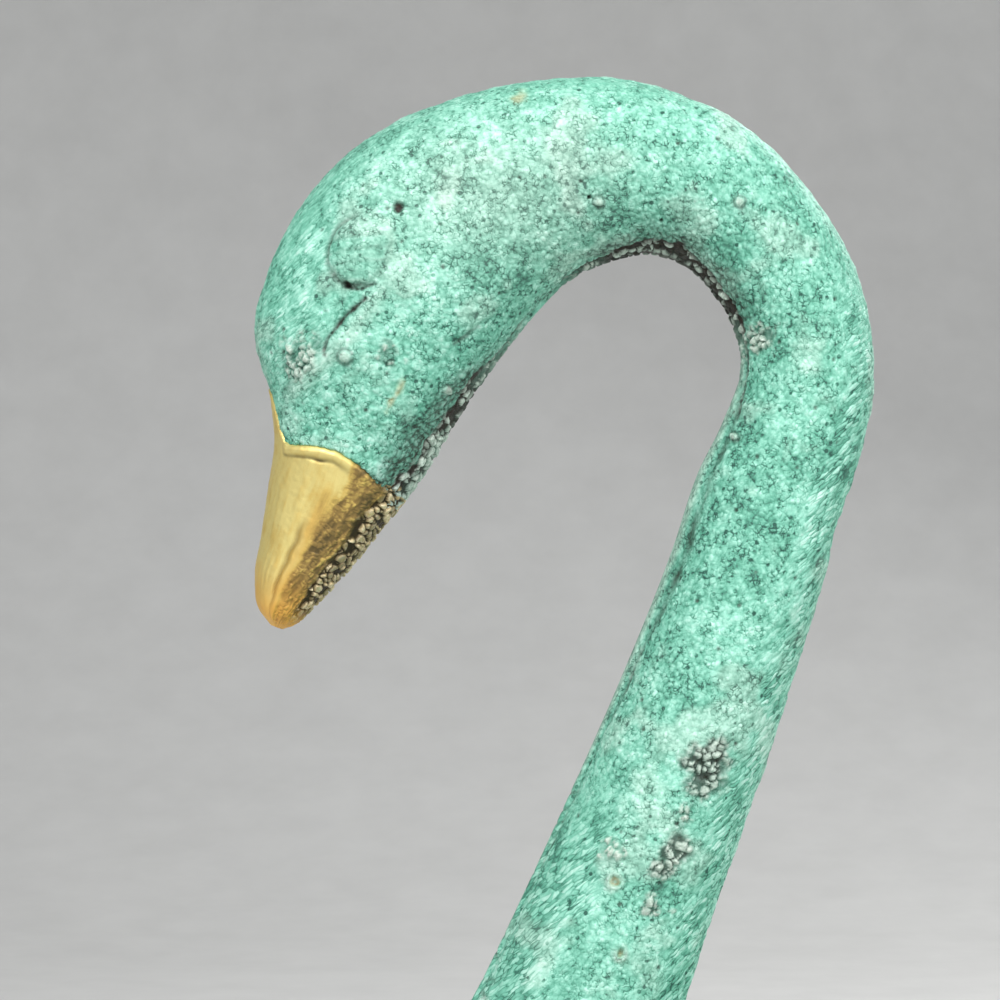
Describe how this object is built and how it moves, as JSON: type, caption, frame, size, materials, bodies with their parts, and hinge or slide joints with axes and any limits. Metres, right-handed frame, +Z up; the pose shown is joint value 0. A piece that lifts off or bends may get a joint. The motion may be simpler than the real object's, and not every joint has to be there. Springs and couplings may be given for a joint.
{
  "type": "swan figurine",
  "caption": "Hollow cast brass swan table figurine with an arched neck, bowed head, green patina and a bare brass bill, resting on a felt base.",
  "frame": {"origin": "middle of the felt's underside, on the ground", "axes": "+Z up, the swan faces -X, its left side faces -Y"},
  "size_m": [0.2031, 0.095, 0.1965],
  "materials": {
    "verdigris_brass": "stippled green verdigris patina",
    "bare_brass": "satin brushed, browned in the grooves",
    "plated_steel": "zinc plated",
    "felt": "pressed felt"
  },
  "bodies": {
    "root": {"neck_left_shell": "verdigris_brass", "neck_right_shell": "verdigris_brass", "body_left_shell": "verdigris_brass", "body_right_shell": "verdigris_brass", "wing_left": "verdigris_brass", "wing_right": "verdigris_brass", "tail_fan": "verdigris_brass", "bill": "bare_brass", "neck_foot_plug": "plated_steel", "neck_stud": "plated_steel", "neck_washer": "plated_steel", "neck_nut": "plated_steel", "wing_screw_left_front": "plated_steel", "wing_screw_left_rear": "plated_steel", "wing_screw_right_front": "plated_steel", "wing_screw_right_rear": "plated_steel", "tail_screw": "plated_steel", "base_felt": "felt"}
  },
  "joints": []
}
